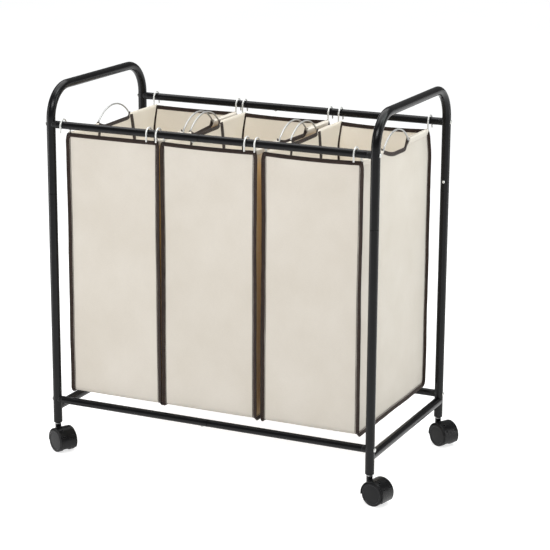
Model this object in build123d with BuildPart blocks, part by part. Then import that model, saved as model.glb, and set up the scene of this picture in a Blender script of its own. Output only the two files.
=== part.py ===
"""Three-bag rolling laundry cart.

Frame: +Z up, +X along the cart's width, front at -Y.
Origin on the floor, below the centre of the frame. All sizes in millimetres.
"""
import os
from math import cos, radians, sin, sqrt

from build123d import *

# Overall sizes
FRAME_WIDTH = 749.3  # over the posts, X
FRAME_DEPTH = 414.0  # over the posts, Y
FRAME_HEIGHT = 800.1  # floor to the top of the handles
CASTER_HEIGHT = 61.0  # floor to the lower end of the posts

# Tubes
POST_R = 9.5
RAIL_R = 8.0
WALL = 1.2
SLIP = 0.05  # radial clearance of every sleeve and shaft
JOINT_GAP = 0.6  # open ring left where two tube ends meet
POST_X = FRAME_WIDTH / 2 - POST_R
POST_Y = FRAME_DEPTH / 2 - POST_R
HANDLE_Z = FRAME_HEIGHT - POST_R
HANDLE_BEND_R = 67.0
POST_JOINT_Z = 567.0  # where a handle leg meets its lower post
POST_SPIGOT_LENGTH = 40.0
TOP_RAIL_Z = 715.0
BOTTOM_RAIL_Z = 112.0
SIDE_RAIL_Z = 96.0
TOP_RAIL_JOINT_X = -18.0
BOTTOM_RAIL_JOINT_X = 0.0
RAIL_SPIGOT_LENGTH = 40.0
RAIL_END_GAP = 5.6  # from a rail's end to the post's nearest line, filled by the plug's saddle
RAIL_END_X = POST_X - POST_R - RAIL_END_GAP
PLUG_DEPTH = 22.0

# Fasteners
RAIL_SCREW_R = 2.5
RAIL_SCREW_HEAD_R = 4.5
RAIL_SCREW_HEAD_H = 2.6
RAIL_SCREW_DEPTH = 18.0  # shank inside the plug
POST_SCREW_R = 2.0
POST_SCREW_HEAD_R = 3.2
POST_SCREW_HEAD_H = 2.4
POST_SCREW_HOLE_R = 4.3  # window in the handle leg around the screw's head
POST_SCREW_Z = POST_JOINT_Z + 20.0
JOINT_SCREW_R = 1.8
JOINT_SCREW_HEAD_R = 3.3
JOINT_SCREW_HEAD_H = 1.8
JOINT_SCREW_SETBACK = 14.0

# Casters, about the swivel axis, trailing along local +X
WHEEL_R = 25.0
TRAIL = 19.0
HOOD_R = 28.0
HOOD_CAVITY_R = 26.2
HOOD_HALF_WIDTH = 20.0
HOOD_TRAILING_ANGLE = -32.0  # lower edge of the hood behind the wheels
HOOD_LEADING_ANGLE = -172.0  # lower edge of the hood below the stem
WEB_HALF_WIDTH = 3.0
WEB_LOW_Z = 12.0
HUB_R = 6.5  # boss on the web that keeps the wheels apart
HUB_HALF_WIDTH = 8.4
WHEEL_INNER_Y = 9.0
WHEEL_OUTER_Y = 21.0
AXLE_R = 3.0
AXLE_HALF_LENGTH = 17.3
STEM_R = 4.0
STEM_LOW_Z = 47.0
STEM_HIGH_Z = 96.0
NECK_R = 6.5
NECK_TOP_Z = 56.6
COLLAR_R = 6.2
COLLAR_H = 1.1
SOCKET_FLANGE_H = 3.0
SOCKET_TOP_Z = 100.0
CASTER_TRAIL_ANGLES = {
    "front_left": -28.0,
    "front_right": -12.0,
    "rear_right": -28.0,
    "rear_left": 152.0,
}

# Bags
BAG_CENTRES = {"bag_1": -225.0, "bag_2": -3.5, "bag_3": 226.5}
BAG_HALF_WIDTH = 107.0
BAG_HALF_DEPTH = 188.0
BAG_BOTTOM_Z = 132.0
BAG_TOP_Z = 697.0
HEM_TOP_Z = 700.0
CLOTH = 2.4
BAG_CORNER_R = 8.0
HEM_HEIGHT = 12.0
HEM_DEPTH = 7.6
HEM_END_Y = 177.0
NOTCH_HALF_LENGTH = 73.0
NOTCH_DEPTH = 14.0
TAPE = 8.5
TAPE_PROUD = 0.9
SIDE_TAPE_PROUD = 3.4

# Wire hangers
WIRE_R = 1.8
WIRE_X = 102.7  # from the bag's centre
WIRE_Z = 694.5
ARCH_HALF_LENGTH = 70.0
ARCH_TOP_Z = 729.0
ARCH_FOOT_R = 6.0
HOOK_R = 12.4
HOOK_CENTRE_Y = 195.0
HOOK_CENTRE_Z = 714.3
HOOK_TIP_Z = 699.0
WIRE_CORNER_R = 6.0
SWAY_LOW_Z = 702.6  # the front hooks lean sideways between these heights
SWAY_HIGH_Z = 712.2
SWAY_CORNER_R = 3.0
FRONT_HOOK_SWAY = {
    ("bag_1", "left"): -9.0,
    ("bag_1", "right"): -12.0,
    ("bag_2", "left"): -6.0,
    ("bag_2", "right"): -12.0,
    ("bag_3", "left"): -14.0,
    ("bag_3", "right"): -6.0,
}

CORNERS = {
    "front_left": (-1, -1),
    "front_right": (1, -1),
    "rear_right": (1, 1),
    "rear_left": (-1, 1),
}
ROWS = {"front": -1, "rear": 1}
SIDES = {"left": -1, "right": 1}


def axial_plane(x, y, z, along):
    """A plane through a point whose local Y lies along a row direction."""
    out = Vector(*along)
    radial = Vector(0, 0, 1) if abs(out.Z) < 0.5 else Vector(1, 0, 0)
    return Plane(origin=(x, y, z), x_dir=radial, z_dir=radial.cross(out))


def drill(x, y, z, along, radius, depth):
    """Cut a round hole that starts at a point and runs along a direction."""
    with BuildSketch(Plane(origin=(x, y, z), z_dir=along)) as hole:
        Circle(radius)
    extrude(hole.sketch, amount=depth, mode=Mode.SUBTRACT)


def swaged_tube(plane, length, outer_r, spigot_length):
    """A thin tube along the plane's local Y, with a reduced spigot at its far end."""
    spigot_r = outer_r - WALL - SLIP
    with BuildSketch(plane) as profile:
        with BuildLine():
            Polyline(
                (outer_r - WALL, 0),
                (outer_r, 0),
                (outer_r, length - JOINT_GAP),
                (outer_r - JOINT_GAP, length),
                (spigot_r, length),
                (spigot_r, length + spigot_length),
                (spigot_r - WALL, length + spigot_length),
                (spigot_r - WALL, length - WALL),
                (outer_r - WALL, length - 3 * WALL),
                close=True,
            )
        make_face()
    revolve(profile.sketch, axis=Axis(plane.origin, plane.y_dir))


def plain_tube(plane, length, outer_r):
    """A thin tube along the plane's normal."""
    with BuildSketch(plane) as ring:
        Circle(outer_r)
        Circle(outer_r - WALL, mode=Mode.SUBTRACT)
    extrude(ring.sketch, amount=length)


def u_handle(side):
    """An inverted U: handle bar on top, its legs are the upper posts."""
    x = side * POST_X
    with BuildPart() as handle:
        with BuildLine():
            FilletPolyline(
                (x, -POST_Y, POST_JOINT_Z + JOINT_GAP),
                (x, -POST_Y, HANDLE_Z),
                (x, POST_Y, HANDLE_Z),
                (x, POST_Y, POST_JOINT_Z + JOINT_GAP),
                radius=HANDLE_BEND_R,
            )
        with BuildSketch(Plane.XY.offset(POST_JOINT_Z + JOINT_GAP)):
            with Locations((x, -POST_Y)):
                Circle(POST_R)
                Circle(POST_R - WALL, mode=Mode.SUBTRACT)
        sweep()
        for row in ROWS.values():
            y = row * POST_Y
            drill(x - POST_R, y, TOP_RAIL_Z, (1, 0, 0), RAIL_SCREW_R + SLIP, 2 * POST_R)
            drill(x, y, POST_SCREW_Z, (0, -row, 0), POST_SCREW_HOLE_R, POST_R)
    return handle.part


def lower_post(side, row):
    """A straight post with a spigot that enters the handle leg."""
    x = side * POST_X
    y = row * POST_Y
    with BuildPart() as post:
        swaged_tube(
            axial_plane(x, y, CASTER_HEIGHT, (0, 0, 1)),
            POST_JOINT_Z - CASTER_HEIGHT,
            POST_R,
            POST_SPIGOT_LENGTH,
        )
        drill(x - POST_R, y, BOTTOM_RAIL_Z, (1, 0, 0), RAIL_SCREW_R + SLIP, 2 * POST_R)
        drill(x, y, POST_SCREW_Z, (0, -row, 0), POST_SCREW_R + SLIP, POST_R)
    return post.part


def side_rail(side):
    """Lower end rail, welded between the two posts of one end, with coped ends."""
    with BuildPart() as rail:
        plain_tube(
            Plane(origin=(side * POST_X, -POST_Y, SIDE_RAIL_Z), z_dir=(0, 1, 0)),
            2 * POST_Y,
            POST_R,
        )
        with BuildSketch(Plane.XY.offset(SIDE_RAIL_Z)):
            with Locations((side * POST_X, -POST_Y), (side * POST_X, POST_Y)):
                Circle(POST_R + SLIP / 2)
        extrude(amount=2 * POST_R, both=True, mode=Mode.SUBTRACT)
    return rail.part


def rail_socket_half(row, z, joint_x):
    """Left half of a long rail: plain tube whose end takes the other half's spigot."""
    y = row * POST_Y
    with BuildPart() as rail:
        plain_tube(
            Plane(origin=(-RAIL_END_X, y, z), z_dir=(1, 0, 0)),
            RAIL_END_X + joint_x - JOINT_GAP,
            RAIL_R,
        )
        drill(joint_x - JOINT_SCREW_SETBACK, y, z, (0, 0, -1), JOINT_SCREW_R + SLIP, RAIL_R)
    return rail.part


def rail_spigot_half(row, z, joint_x):
    """Right half of a long rail, with the reduced spigot at the joint."""
    y = row * POST_Y
    with BuildPart() as rail:
        swaged_tube(
            axial_plane(RAIL_END_X, y, z, (-1, 0, 0)),
            RAIL_END_X - joint_x,
            RAIL_R,
            RAIL_SPIGOT_LENGTH,
        )
        drill(joint_x - JOINT_SCREW_SETBACK, y, z, (0, 0, -1), JOINT_SCREW_R + SLIP, RAIL_R)
    return rail.part


def rail_ends():
    """Every place where a long rail meets a post: side, row and height."""
    for z in (TOP_RAIL_Z, BOTTOM_RAIL_Z):
        for row in ROWS.values():
            for side in SIDES.values():
                yield side, row * POST_Y, z


def rail_joints():
    """Every joint between two rail halves: x, y and height."""
    for z, joint_x in ((TOP_RAIL_Z, TOP_RAIL_JOINT_X), (BOTTOM_RAIL_Z, BOTTOM_RAIL_JOINT_X)):
        for row in ROWS.values():
            yield joint_x, row * POST_Y, z


def rail_end_plugs():
    """Plugs in the rail ends, each with a saddle that fits round the post."""
    with BuildPart() as plugs:
        for side, y, z in rail_ends():
            outward = (side, 0, 0)
            with BuildSketch(Plane(origin=(side * RAIL_END_X, y, z), z_dir=outward)):
                Circle(RAIL_R)
            extrude(amount=POST_X - RAIL_END_X)
            with BuildSketch(Plane(origin=(side * POST_X, y, z))):
                Circle(POST_R + SLIP)
            extrude(amount=2 * RAIL_R, both=True, mode=Mode.SUBTRACT)
            with BuildSketch(Plane(origin=(side * RAIL_END_X, y, z), z_dir=(-side, 0, 0))):
                Circle(RAIL_R - WALL - SLIP)
            extrude(amount=PLUG_DEPTH)
            drill(side * POST_X, y, z, (-side, 0, 0), RAIL_SCREW_R + SLIP, 2 * PLUG_DEPTH)
    return plugs.part


def domed_screw(x, y, z, along, head_r, head_h, shank_r, shank_length):
    """A screw whose head bears at a point and whose shank runs along a direction."""
    plane = axial_plane(x, y, z, along)
    with BuildSketch(plane) as profile:
        with BuildLine():
            Line((0, shank_length), (shank_r, shank_length))
            Line((shank_r, shank_length), (shank_r, 0))
            Line((shank_r, 0), (head_r, 0))
            Line((head_r, 0), (head_r, -head_h / 3))
            ThreePointArc(
                (head_r, -head_h / 3),
                (head_r * 0.78, -head_h * 0.8),
                (head_r * 0.4, -head_h),
            )
            Line((head_r * 0.4, -head_h), (0, -head_h))
            Line((0, -head_h), (0, shank_length))
        make_face()
    revolve(profile.sketch, axis=Axis(plane.origin, plane.y_dir))


def rail_end_screws():
    """Screws through the posts into the rail plugs, heads on the outer sides."""
    with BuildPart() as screws:
        for side, y, z in rail_ends():
            head_x = POST_X + POST_R + SLIP
            domed_screw(
                side * head_x, y, z, (-side, 0, 0),
                RAIL_SCREW_HEAD_R, RAIL_SCREW_HEAD_H,
                RAIL_SCREW_R, head_x - RAIL_END_X + RAIL_SCREW_DEPTH,
            )
    return screws.part


def post_joint_screws():
    """Screws in the post spigots, heads facing the middle of the cart."""
    with BuildPart() as screws:
        for side, row in CORNERS.values():
            spigot_r = POST_R - WALL - SLIP
            domed_screw(
                side * POST_X, row * (POST_Y - spigot_r - SLIP), POST_SCREW_Z, (0, row, 0),
                POST_SCREW_HEAD_R, POST_SCREW_HEAD_H,
                POST_SCREW_R, spigot_r - 1,
            )
    return screws.part


def rail_joint_screws():
    """Screws on the undersides of the long rails, beside their middle joints."""
    with BuildPart() as screws:
        for joint_x, y, z in rail_joints():
            domed_screw(
                joint_x - JOINT_SCREW_SETBACK, y, z - RAIL_R - SLIP, (0, 0, 1),
                JOINT_SCREW_HEAD_R, JOINT_SCREW_HEAD_H,
                JOINT_SCREW_R, RAIL_R - 1,
            )
    return screws.part


def caster_sockets():
    """Bushes pressed into the post ends, each with a tapered flange below the tube."""
    with BuildPart() as sockets:
        for side, row in CORNERS.values():
            plane = axial_plane(side * POST_X, row * POST_Y, CASTER_HEIGHT, (0, 0, 1))
            bore_r = STEM_R + SLIP
            with BuildSketch(plane):
                with BuildLine():
                    Polyline(
                        (bore_r, -SOCKET_FLANGE_H),
                        (COLLAR_R + 0.4, -SOCKET_FLANGE_H),
                        (POST_R - 0.3, -1.0),
                        (POST_R - 0.3, 0),
                        (POST_R - WALL - SLIP, 0),
                        (POST_R - WALL - SLIP, SOCKET_TOP_Z - CASTER_HEIGHT),
                        (bore_r, SOCKET_TOP_Z - CASTER_HEIGHT),
                        close=True,
                    )
                make_face()
            revolve(axis=Axis(plane.origin, plane.y_dir))
    return sockets.part


def on_corner(piece, corner):
    """Turn a caster piece to its rest direction and carry it below its post."""
    side, row = CORNERS[corner]
    place = Location((side * POST_X, row * POST_Y, 0), (0, 0, CASTER_TRAIL_ANGLES[corner]))
    return piece.moved(place)


def wedge_point(angle, radius):
    """A point in the wheel's side view, by its angle about the axle."""
    return TRAIL + radius * cos(radians(angle)), WHEEL_R + radius * sin(radians(angle))


def caster_hood():
    """Hood over both wheels, with the web that holds the axle and the neck for the stem."""
    reach = 3 * WHEEL_R
    with BuildPart() as hood:
        with BuildSketch(Plane.XZ):
            with Locations((TRAIL, WHEEL_R)):
                Circle(HOOD_R)
        extrude(amount=HOOD_HALF_WIDTH, both=True)
        fillet(hood.edges().filter_by(GeomType.CIRCLE), radius=1.6)
        with BuildSketch(Plane.XZ):
            with BuildLine():
                Polyline(
                    (TRAIL, WHEEL_R),
                    wedge_point(HOOD_TRAILING_ANGLE, reach),
                    wedge_point(-90, reach),
                    wedge_point(HOOD_LEADING_ANGLE, reach),
                    close=True,
                )
            make_face()
        extrude(amount=HOOD_HALF_WIDTH, both=True, mode=Mode.SUBTRACT)
        with BuildSketch(Plane.XY.offset(WHEEL_R + HOOD_R / 2)):
            Circle(NECK_R)
        extrude(amount=NECK_TOP_Z - WHEEL_R - HOOD_R / 2)
        with BuildSketch(Plane.XZ):
            with Locations((TRAIL, WHEEL_R)):
                Circle(HOOD_CAVITY_R)
        extrude(amount=HOOD_HALF_WIDTH, both=True, mode=Mode.SUBTRACT)
        with BuildSketch(Plane.XZ):
            with Locations((TRAIL, WHEEL_R)):
                Circle(HOOD_CAVITY_R + 0.5)
            with Locations((TRAIL, WEB_LOW_Z - WHEEL_R)):
                Rectangle(4 * WHEEL_R, 2 * WHEEL_R, mode=Mode.SUBTRACT)
        extrude(amount=WEB_HALF_WIDTH, both=True)
        with BuildSketch(Plane.XZ):
            with Locations((TRAIL, WHEEL_R)):
                Circle(HUB_R)
        extrude(amount=HUB_HALF_WIDTH, both=True)
        with BuildSketch(Plane.XZ):
            with Locations((TRAIL, WHEEL_R)):
                Circle(AXLE_R + 0.01)
        extrude(amount=HOOD_HALF_WIDTH, both=True, mode=Mode.SUBTRACT)
        drill(0, 0, NECK_TOP_Z, (0, 0, -1), STEM_R + 0.01, NECK_TOP_Z - STEM_LOW_Z)
        for angle in (28, 62):
            x, z = wedge_point(angle, HOOD_R)
            outward = (cos(radians(angle)), 0, sin(radians(angle)))
            with BuildSketch(Plane(origin=(x, 0, z), x_dir=(0, 1, 0), z_dir=outward)):
                with Locations((-11.5, 0), (11.5, 0)):
                    SlotOverall(9, 3.2)
            extrude(amount=3, both=True, mode=Mode.SUBTRACT)
    return hood.part


def caster_stem():
    """Steel stem, pressed into the neck and free to turn in the post's bush."""
    plane = axial_plane(0, 0, 0, (0, 0, 1))
    with BuildPart() as stem:
        with BuildSketch(plane):
            with BuildLine():
                Polyline(
                    (0, STEM_LOW_Z),
                    (STEM_R, STEM_LOW_Z),
                    (STEM_R, NECK_TOP_Z),
                    (COLLAR_R, NECK_TOP_Z),
                    (COLLAR_R, NECK_TOP_Z + COLLAR_H),
                    (STEM_R, NECK_TOP_Z + COLLAR_H),
                    (STEM_R, STEM_HIGH_Z - 8),
                    (STEM_R - 0.7, STEM_HIGH_Z - 8),
                    (STEM_R - 0.7, STEM_HIGH_Z - 5),
                    (STEM_R, STEM_HIGH_Z - 5),
                    (STEM_R, STEM_HIGH_Z - 1.5),
                    (STEM_R - 1.5, STEM_HIGH_Z),
                    (0, STEM_HIGH_Z),
                    close=True,
                )
            make_face()
        revolve(axis=Axis.Z)
    return stem.part


def caster_axle():
    """Steel axle through the hood's web, its ends inside the two wheels."""
    with BuildPart() as axle:
        with BuildSketch(Plane.XZ):
            with Locations((TRAIL, WHEEL_R)):
                Circle(AXLE_R)
        extrude(amount=AXLE_HALF_LENGTH, both=True)
        chamfer(axle.edges().filter_by(GeomType.CIRCLE), length=0.5)
    return axle.part


def caster_wheel(hand):
    """One of the twin wheels, with a closed outer face and a blind bore for the axle."""
    plane = axial_plane(TRAIL, 0, WHEEL_R, (0, hand, 0))
    with BuildPart() as wheel:
        with BuildSketch(plane):
            with BuildLine():
                Line((AXLE_R + SLIP, WHEEL_INNER_Y), (WHEEL_R - 1, WHEEL_INNER_Y))
                Line((WHEEL_R - 1, WHEEL_INNER_Y), (WHEEL_R, WHEEL_INNER_Y + 1))
                Line((WHEEL_R, WHEEL_INNER_Y + 1), (WHEEL_R, WHEEL_OUTER_Y - 3))
                ThreePointArc(
                    (WHEEL_R, WHEEL_OUTER_Y - 3),
                    (WHEEL_R - 0.7, WHEEL_OUTER_Y - 1.2),
                    (WHEEL_R - 2.4, WHEEL_OUTER_Y - 0.2),
                )
                Line((WHEEL_R - 2.4, WHEEL_OUTER_Y - 0.2), (WHEEL_R - 5, WHEEL_OUTER_Y))
                Line((WHEEL_R - 5, WHEEL_OUTER_Y), (WHEEL_R - 5.8, WHEEL_OUTER_Y - 1))
                ThreePointArc(
                    (WHEEL_R - 5.8, WHEEL_OUTER_Y - 1),
                    (WHEEL_R / 2, WHEEL_OUTER_Y - 0.65),
                    (WHEEL_R / 4, WHEEL_OUTER_Y - 0.5),
                )
                Line((WHEEL_R / 4, WHEEL_OUTER_Y - 0.5), (0, WHEEL_OUTER_Y - 0.5))
                Line((0, WHEEL_OUTER_Y - 0.5), (0, AXLE_HALF_LENGTH + 0.5))
                Line((0, AXLE_HALF_LENGTH + 0.5), (AXLE_R + SLIP, AXLE_HALF_LENGTH + 0.5))
                Line((AXLE_R + SLIP, AXLE_HALF_LENGTH + 0.5), (AXLE_R + SLIP, WHEEL_INNER_Y))
            make_face()
        revolve(axis=Axis(plane.origin, plane.y_dir))
    return wheel.part


def bag_strip(centre_x):
    """Front, bottom and back of a bag, one strip of cloth."""
    half = BAG_HALF_WIDTH - CLOTH - SLIP
    height = BAG_TOP_Z - BAG_BOTTOM_Z
    with BuildPart() as strip:
        with BuildSketch(Plane.YZ.offset(centre_x - half)):
            with BuildLine():
                FilletPolyline(
                    (-BAG_HALF_DEPTH, BAG_TOP_Z),
                    (-BAG_HALF_DEPTH, BAG_BOTTOM_Z),
                    (BAG_HALF_DEPTH, BAG_BOTTOM_Z),
                    (BAG_HALF_DEPTH, BAG_TOP_Z),
                    radius=BAG_CORNER_R,
                )
                Line((BAG_HALF_DEPTH, BAG_TOP_Z), (-BAG_HALF_DEPTH, BAG_TOP_Z))
            make_face()
            with BuildLine():
                FilletPolyline(
                    (CLOTH - BAG_HALF_DEPTH, BAG_TOP_Z + height),
                    (CLOTH - BAG_HALF_DEPTH, BAG_BOTTOM_Z + CLOTH),
                    (BAG_HALF_DEPTH - CLOTH, BAG_BOTTOM_Z + CLOTH),
                    (BAG_HALF_DEPTH - CLOTH, BAG_TOP_Z + height),
                    radius=BAG_CORNER_R - CLOTH,
                )
                Line(
                    (BAG_HALF_DEPTH - CLOTH, BAG_TOP_Z + height),
                    (CLOTH - BAG_HALF_DEPTH, BAG_TOP_Z + height),
                )
            make_face(mode=Mode.SUBTRACT)
        extrude(amount=2 * half)
    return strip.part


def bag_side(centre_x, side):
    """Side panel with a hem for the wire and a bound notch below the hand grip."""
    inner_x = centre_x + side * (BAG_HALF_WIDTH - CLOTH)
    outward = (side, 0, 0)
    hem_x = centre_x + side * (BAG_HALF_WIDTH - HEM_DEPTH)
    hem_middle_y = (NOTCH_HALF_LENGTH + HEM_END_Y) / 2
    with BuildPart() as panel:
        with BuildSketch(Plane(origin=(inner_x, 0, 0), x_dir=(0, 1, 0), z_dir=outward)) as face:
            with Locations((0, side * (BAG_BOTTOM_Z + HEM_TOP_Z) / 2)):
                RectangleRounded(2 * BAG_HALF_DEPTH, HEM_TOP_Z - BAG_BOTTOM_Z, BAG_CORNER_R)
            with Locations((0, side * (HEM_TOP_Z - BAG_CORNER_R))):
                Rectangle(2 * BAG_HALF_DEPTH, 2 * BAG_CORNER_R)
            with Locations((0, side * HEM_TOP_Z)):
                Ellipse(NOTCH_HALF_LENGTH, NOTCH_DEPTH, mode=Mode.SUBTRACT)
        extrude(amount=CLOTH)
        with BuildSketch(Plane(origin=(hem_x, 0, 0), x_dir=(0, 1, 0), z_dir=outward)):
            with Locations(
                (-hem_middle_y, side * (HEM_TOP_Z - HEM_HEIGHT / 2)),
                (hem_middle_y, side * (HEM_TOP_Z - HEM_HEIGHT / 2)),
            ):
                Rectangle(HEM_END_Y - NOTCH_HALF_LENGTH - 1, HEM_HEIGHT)
        extrude(amount=HEM_DEPTH)
        drill(
            centre_x + side * WIRE_X, -BAG_HALF_DEPTH, WIRE_Z, (0, 1, 0),
            WIRE_R + SLIP, 2 * BAG_HALF_DEPTH,
        )
    return panel.part


def hanger_path(x, front_sway):
    """Hook, hem run, hand-grip arch, hem run and hook, in the plane of a side panel."""
    rise = ARCH_TOP_Z - WIRE_Z
    arch_r = (ARCH_HALF_LENGTH ** 2 + rise ** 2) / (2 * rise)
    lean = ARCH_HALF_LENGTH / arch_r
    foot = ARCH_FOOT_R
    inner_leg_y = HOOK_CENTRE_Y - HOOK_R
    outer_leg_y = HOOK_CENTRE_Y + HOOK_R
    slope = sqrt(1 - lean ** 2)
    start_y = ARCH_HALF_LENGTH - 2 * foot * slope
    start_z = WIRE_Z + 2 * foot * lean
    for end, sway in ((-1, front_sway), (1, 0)):
        hook_x = x + sway
        Line((hook_x, end * outer_leg_y, HOOK_TIP_Z), (hook_x, end * outer_leg_y, HOOK_CENTRE_Z))
        ThreePointArc(
            (hook_x, end * outer_leg_y, HOOK_CENTRE_Z),
            (hook_x, end * HOOK_CENTRE_Y, HOOK_CENTRE_Z + HOOK_R),
            (hook_x, end * inner_leg_y, HOOK_CENTRE_Z),
        )
        route = [
            (x, end * inner_leg_y, WIRE_Z),
            (x, end * ARCH_HALF_LENGTH, WIRE_Z),
            (x, end * start_y, start_z),
        ]
        radii = [WIRE_CORNER_R, foot]
        if sway:
            route.insert(0, (x, end * inner_leg_y, SWAY_LOW_Z))
            route.insert(0, (hook_x, end * inner_leg_y, SWAY_HIGH_Z))
            radii = [SWAY_CORNER_R, SWAY_CORNER_R] + radii
        FilletPolyline((hook_x, end * inner_leg_y, HOOK_CENTRE_Z), *route, radius=radii)
    ThreePointArc((x, -start_y, start_z), (x, 0, ARCH_TOP_Z), (x, start_y, start_z))


def wire_hanger(centre_x, side, front_sway):
    """One bent steel wire with a hook at each end and the hand grip in its middle."""
    x = centre_x + side * WIRE_X
    tip_y = -(HOOK_CENTRE_Y + HOOK_R)
    with BuildPart() as hanger:
        with BuildLine() as route:
            hanger_path(x, front_sway)
        with BuildSketch(Plane(origin=(x + front_sway, tip_y, HOOK_TIP_Z), z_dir=(0, 0, 1))):
            Circle(WIRE_R)
        sweep(path=route.wires()[0])
    return hanger.part


def bag_binding(centre_x):
    """Tapes sewn over the seams, the notches and the top edges of one bag."""
    outer_y = BAG_HALF_DEPTH + TAPE_PROUD
    low_z = BAG_BOTTOM_Z - TAPE_PROUD
    middle_z = (low_z + BAG_TOP_Z) / 2
    with BuildPart() as binding:
        for side in SIDES.values():
            seam = Plane(
                origin=(centre_x + side * (BAG_HALF_WIDTH + SLIP), 0, 0),
                x_dir=(0, 1, 0),
                z_dir=(side, 0, 0),
            )
            with BuildSketch(seam):
                with Locations((0, side * middle_z)):
                    Rectangle(2 * outer_y, BAG_TOP_Z - low_z)
                with Locations((0, side * (low_z + TAPE + BAG_TOP_Z) / 2)):
                    Rectangle(2 * (outer_y - TAPE), BAG_TOP_Z - low_z - TAPE, mode=Mode.SUBTRACT)
            extrude(amount=SIDE_TAPE_PROUD)
            with BuildSketch(seam):
                with Locations((0, side * HEM_TOP_Z)):
                    Ellipse(NOTCH_HALF_LENGTH + TAPE, NOTCH_DEPTH + TAPE)
                    Ellipse(NOTCH_HALF_LENGTH, NOTCH_DEPTH, mode=Mode.SUBTRACT)
                with Locations((0, side * (HEM_TOP_Z + 2 * NOTCH_DEPTH))):
                    Rectangle(4 * NOTCH_HALF_LENGTH, 4 * NOTCH_DEPTH, mode=Mode.SUBTRACT)
            extrude(amount=TAPE_PROUD)
        for row in ROWS.values():
            top = Plane(
                origin=(centre_x, row * (BAG_HALF_DEPTH + SLIP), BAG_TOP_Z - TAPE / 2),
                x_dir=(1, 0, 0),
                z_dir=(0, row, 0),
            )
            with BuildSketch(top):
                Rectangle(2 * (BAG_HALF_WIDTH - CLOTH), TAPE)
            extrude(amount=TAPE_PROUD - SLIP)
    return binding.part


def save(piece, name):
    """Label a finished piece and write it as its own STEP file."""
    piece.label = name
    export_step(piece, f"parts/{name}.step")


def main():
    os.makedirs("parts", exist_ok=True)
    for name, side in SIDES.items():
        save(u_handle(side), f"handle_{name}")
        save(side_rail(side), f"side_rail_{name}")
    for corner, (side, row) in CORNERS.items():
        save(lower_post(side, row), f"post_{corner}")
    for name, row in ROWS.items():
        save(rail_socket_half(row, TOP_RAIL_Z, TOP_RAIL_JOINT_X), f"top_rail_{name}_left")
        save(rail_spigot_half(row, TOP_RAIL_Z, TOP_RAIL_JOINT_X), f"top_rail_{name}_right")
        save(rail_socket_half(row, BOTTOM_RAIL_Z, BOTTOM_RAIL_JOINT_X), f"bottom_rail_{name}_left")
        save(rail_spigot_half(row, BOTTOM_RAIL_Z, BOTTOM_RAIL_JOINT_X), f"bottom_rail_{name}_right")
    save(rail_end_plugs(), "rail_end_plugs")
    save(rail_end_screws(), "rail_end_screws")
    save(post_joint_screws(), "post_joint_screws")
    save(rail_joint_screws(), "rail_joint_screws")
    save(caster_sockets(), "caster_sockets")
    for corner in CORNERS:
        save(on_corner(caster_hood(), corner), f"caster_hood_{corner}")
        save(on_corner(caster_stem(), corner), f"caster_stem_{corner}")
        save(on_corner(caster_axle(), corner), f"caster_axle_{corner}")
        save(on_corner(caster_wheel(-1), corner), f"wheel_a_{corner}")
        save(on_corner(caster_wheel(1), corner), f"wheel_b_{corner}")
    for bag, centre_x in BAG_CENTRES.items():
        save(bag_strip(centre_x), f"{bag}_front_bottom_back")
        save(bag_binding(centre_x), f"{bag}_binding")
        for name, side in SIDES.items():
            save(bag_side(centre_x, side), f"{bag}_side_{name}")
            save(wire_hanger(centre_x, side, FRONT_HOOK_SWAY[bag, name]), f"{bag}_hanger_{name}")


main()
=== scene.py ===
"""Looks of the three-bag laundry cart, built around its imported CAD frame.

Metres, in the frame's own axes: +Z up, +X along the cart's width, front at -Y.
"""
import math

import bpy
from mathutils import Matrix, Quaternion, Vector, noise


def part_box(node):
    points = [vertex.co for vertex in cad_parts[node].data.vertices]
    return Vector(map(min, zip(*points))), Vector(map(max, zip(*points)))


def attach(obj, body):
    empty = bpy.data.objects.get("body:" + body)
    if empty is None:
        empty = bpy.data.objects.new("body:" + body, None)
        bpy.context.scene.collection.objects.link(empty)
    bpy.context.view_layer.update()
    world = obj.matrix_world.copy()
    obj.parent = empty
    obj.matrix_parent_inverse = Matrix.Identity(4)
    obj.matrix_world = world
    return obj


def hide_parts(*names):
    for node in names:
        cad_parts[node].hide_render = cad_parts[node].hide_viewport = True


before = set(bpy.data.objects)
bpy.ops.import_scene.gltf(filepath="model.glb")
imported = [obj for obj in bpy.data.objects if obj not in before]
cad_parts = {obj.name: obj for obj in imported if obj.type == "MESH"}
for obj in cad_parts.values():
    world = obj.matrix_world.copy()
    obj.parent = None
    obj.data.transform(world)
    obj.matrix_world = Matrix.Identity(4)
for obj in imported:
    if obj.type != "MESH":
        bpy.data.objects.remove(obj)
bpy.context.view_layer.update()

MM = 0.001
BAGS = ("bag_1", "bag_2", "bag_3")
SIDES = {"left": -1, "right": 1}
ROWS = {"front": -1, "rear": 1}
CORNERS = ("front_left", "front_right", "rear_right", "rear_left")

# Cloth panels
CLOTH_T = 0.9 * MM
PANEL_INSET = 2.6 * MM  # side panel's middle, inside the CAD panel's outer face
WALL_INSET = 1.2 * MM  # front and rear panel's middle, inside the CAD panel's outer face
CORNER_R = 9 * MM  # between a wall and the floor
CORNER_STEPS = 5
CORNER_ANGLES = (22, 45, 66, 90)  # columns of a side panel round that corner
GRID = 7.5 * MM  # spacing of the cloth's points

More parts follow.
